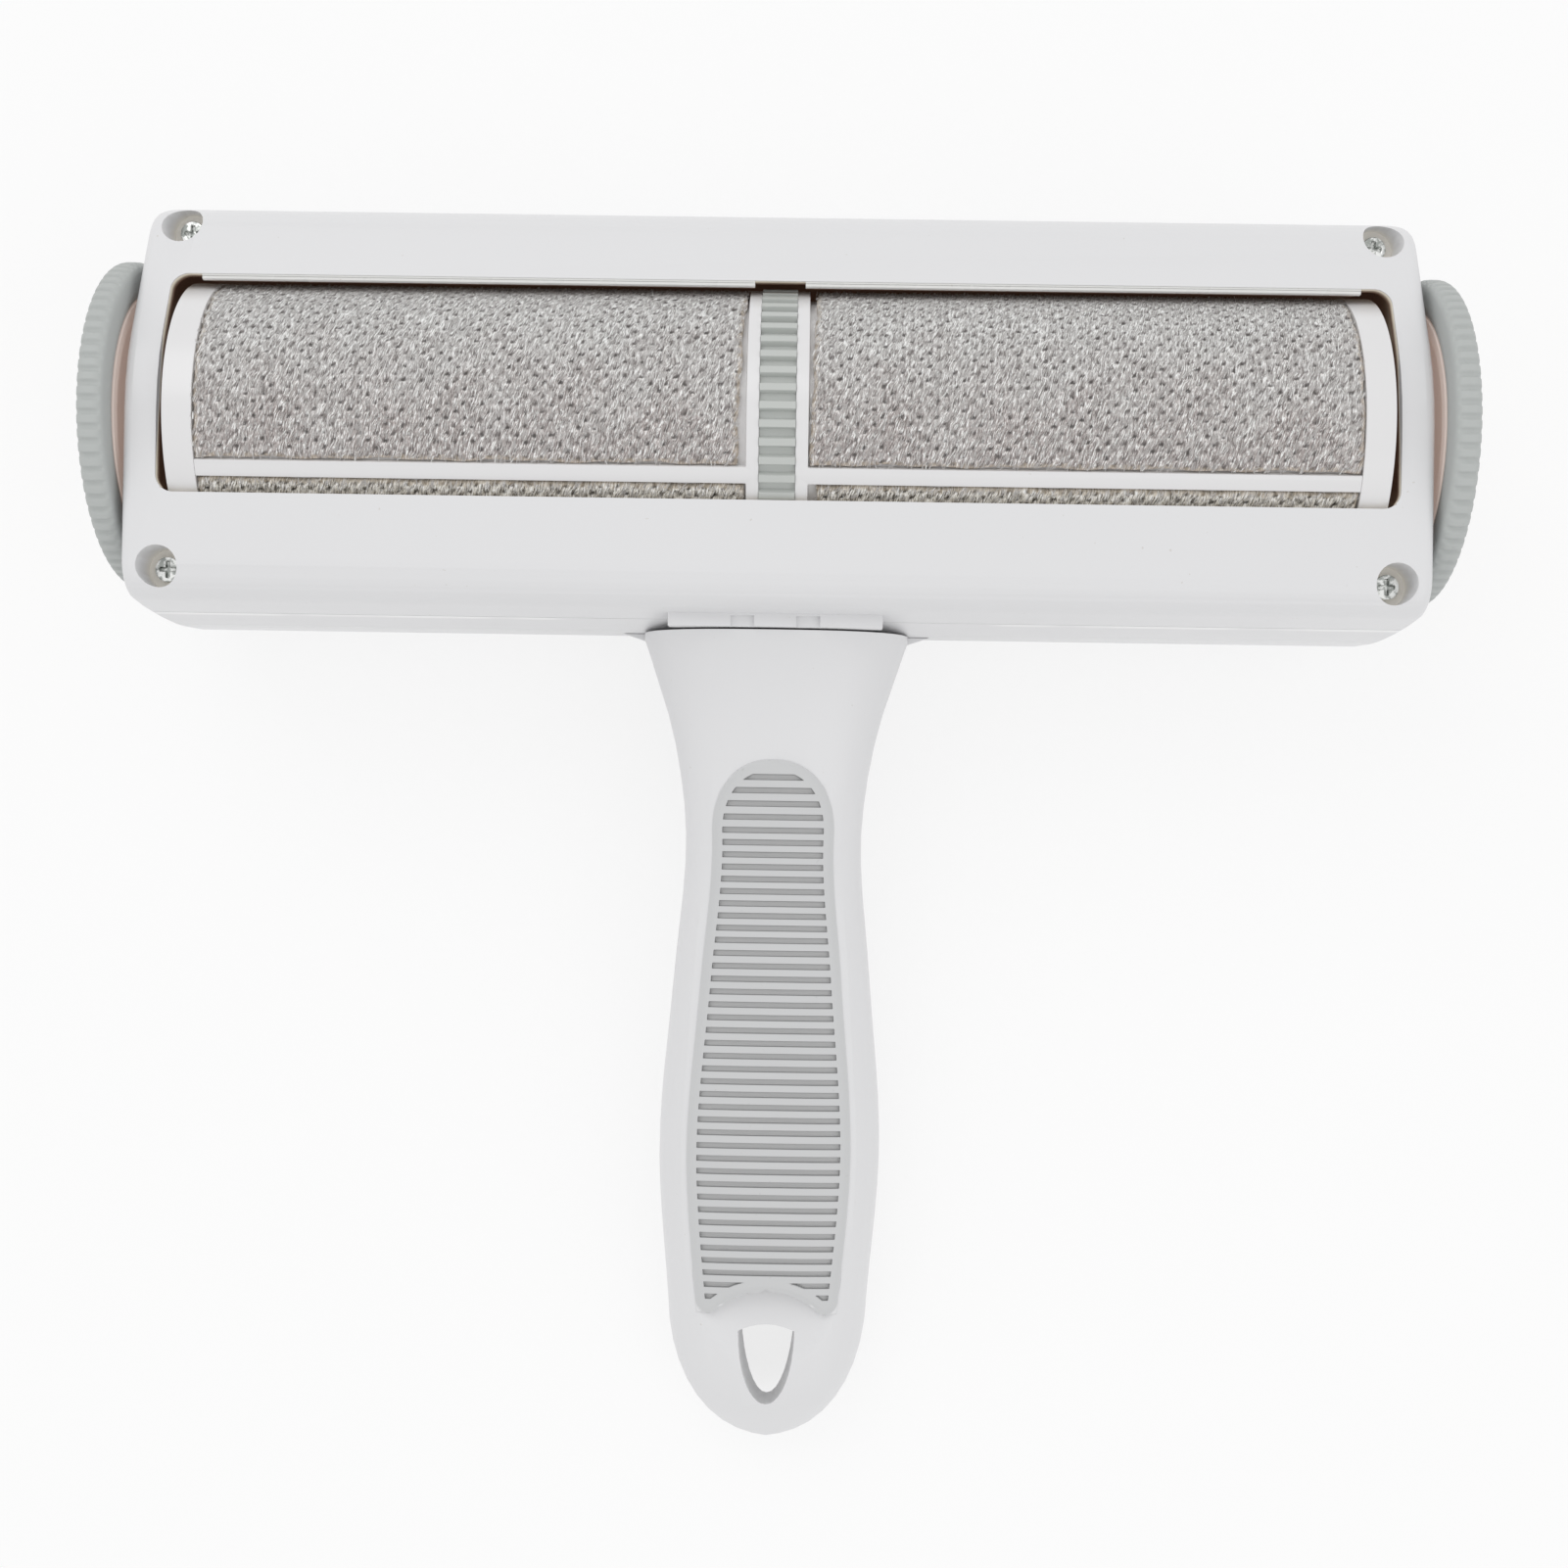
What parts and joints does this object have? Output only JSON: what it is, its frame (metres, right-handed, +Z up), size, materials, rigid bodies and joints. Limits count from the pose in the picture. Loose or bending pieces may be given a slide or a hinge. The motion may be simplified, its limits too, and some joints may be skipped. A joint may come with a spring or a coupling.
{
  "type": "pet hair removal brush",
  "caption": "Reusable pet hair roller: wide head with a swinging lint-fabric drum behind a window, knurled end wheels, hair bin with a latched lid and a gripped handle.",
  "frame": {"origin": "centre of the bounding box's bottom, on the surface the roller lies on", "axes": "+X along the drum, +Y from the handle to the head, +Z up out of the window"},
  "size_m": [0.205, 0.1986, 0.0553],
  "materials": {
    "white_shell": "satin",
    "white_drum": "gloss",
    "wiper": "satin",
    "grip": "matte",
    "grey_rubber": "matte",
    "button": "matte",
    "hub": "satin",
    "bush": "satin",
    "steel": "satin",
    "lint_fabric": "woven"
  },
  "bodies": {
    "housing": {"front_shell": "white_shell", "rear_housing": "white_shell", "handle_back": "white_shell", "handle_cover": "white_shell", "grip_pad": "grip", "upper_wiper": "wiper", "lower_wiper": "wiper", "shell_screws": "steel", "neck_screws": "steel", "axle": "steel", "left_bush": "bush", "right_bush": "bush", "axle_screws": "steel", "hinge_pins": "steel", "button_spring": "steel"},
    "drum": {"left_drum": "white_drum", "right_drum": "white_drum", "traction_ring": "grey_rubber", "left_end_cap": "white_drum", "right_end_cap": "white_drum", "left_front_panel": "lint_fabric", "left_rear_panel": "lint_fabric", "right_front_panel": "lint_fabric", "right_rear_panel": "lint_fabric"},
    "left_wheel": {"left_hub": "hub", "left_tyre": "grey_rubber"},
    "right_wheel": {"right_hub": "hub", "right_tyre": "grey_rubber"},
    "lid": {"bin_lid": "white_shell"},
    "latch": {"release_button": "button"}
  },
  "joints": [
    {"name": "drum_swing", "type": "hinge", "parent": "housing", "child": "drum", "pos_m": [0, 0.06545, 0.03], "axis": [1, 0, 0], "range_deg": [-85, 15]},
    {"name": "left_wheel_spin", "type": "hinge", "parent": "housing", "child": "left_wheel", "pos_m": [0, 0.06545, 0.03], "axis": [1, 0, 0], "continuous": true},
    {"name": "right_wheel_spin", "type": "hinge", "parent": "housing", "child": "right_wheel", "pos_m": [0, 0.06545, 0.03], "axis": [1, 0, 0], "continuous": true},
    {"name": "lid_hinge", "type": "hinge", "parent": "housing", "child": "lid", "pos_m": [0, 0.08685, 0.0019], "axis": [1, 0, 0], "range_deg": [0, 95]},
    {"name": "button_slide", "type": "slide", "parent": "housing", "child": "latch", "axis": [0, -1, 0], "range_m": [0, 0.003], "stiffness_N_per_m": 300, "springref_m": -0.001, "deforming": ["button_spring"]}
  ]
}
